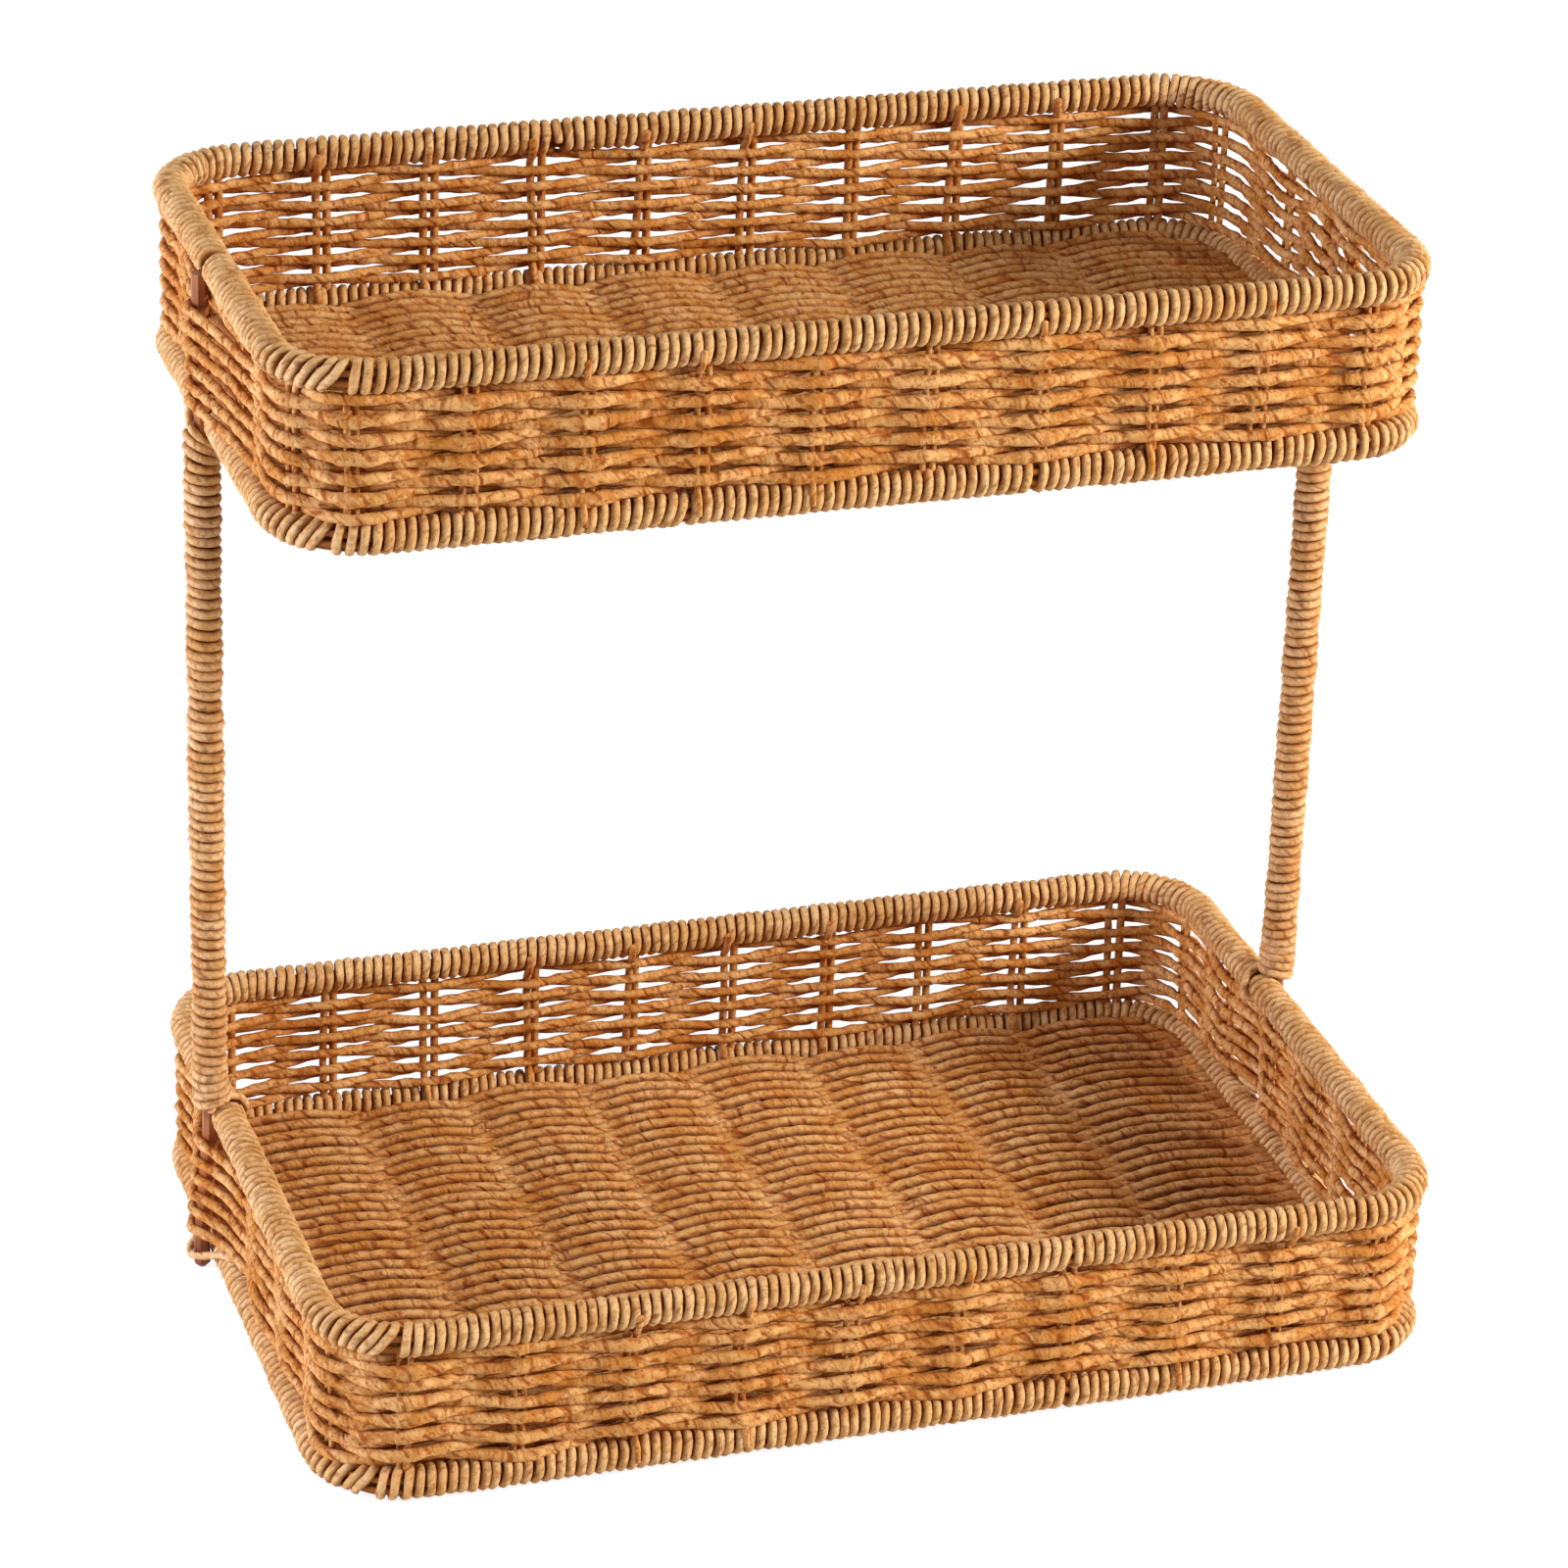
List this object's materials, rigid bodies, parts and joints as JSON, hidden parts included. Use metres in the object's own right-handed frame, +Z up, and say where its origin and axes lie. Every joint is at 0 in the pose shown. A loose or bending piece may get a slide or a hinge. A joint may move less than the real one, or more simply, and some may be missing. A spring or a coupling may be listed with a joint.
{
  "type": "two-tier storage basket",
  "caption": "Two-tier countertop storage basket: a shallow woven paper-cord tray held above a deeper one by a pair of straight cord-wrapped posts.",
  "frame": {"origin": "under the middle of the whole outline, on the surface that the lower base ring stands on", "axes": "+X along the long side of both trays, to the right seen from the front; +Y from the open front, where the upper tray is set back, to the rear; +Z up"},
  "size_m": [0.4312, 0.2818, 0.3938],
  "materials": {
    "painted_wire": "dark brown paint on steel wire and rod",
    "wrap_cord": "twisted paper cord wound side by side, pale straw, dry and matt",
    "wall_cord": "twisted paper cord woven in and out of the stakes, honey tan, dry and matt",
    "floor_cord": "twisted paper cord woven over and under the ribs, honey tan",
    "post_cord": "twisted paper cord wound side by side on the posts, straw tan"
  },
  "bodies": {
    "root": {"lower_wire_frame": "painted_wire", "lower_rim_wrap_front": "wrap_cord", "lower_rim_wrap_back": "wrap_cord", "lower_base_wrap": "wrap_cord", "lower_wall_weave": "wall_cord", "lower_floor_weave": "floor_cord", "lower_floor_rib_1": "painted_wire", "lower_floor_rib_2": "painted_wire", "lower_floor_rib_3": "painted_wire", "lower_floor_rib_4": "painted_wire", "lower_floor_rib_5": "painted_wire", "lower_floor_rib_6": "painted_wire", "lower_floor_rib_7": "painted_wire", "lower_floor_rib_8": "painted_wire", "upper_wire_frame": "painted_wire", "upper_rim_wrap_front": "wrap_cord", "upper_rim_wrap_back": "wrap_cord", "upper_base_wrap_front": "wrap_cord", "upper_base_wrap_back": "wrap_cord", "upper_wall_weave": "wall_cord", "upper_floor_weave": "floor_cord", "upper_floor_rib_1": "painted_wire", "upper_floor_rib_2": "painted_wire", "upper_floor_rib_3": "painted_wire", "upper_floor_rib_4": "painted_wire", "upper_floor_rib_5": "painted_wire", "upper_floor_rib_6": "painted_wire", "upper_floor_rib_7": "painted_wire", "upper_floor_rib_8": "painted_wire", "left_post_rod": "painted_wire", "left_post_wrap": "post_cord", "left_post_binding": "post_cord", "left_post_lashing": "post_cord", "right_post_rod": "painted_wire", "right_post_wrap": "post_cord", "right_post_binding": "post_cord", "right_post_lashing": "post_cord"}
  },
  "joints": []
}
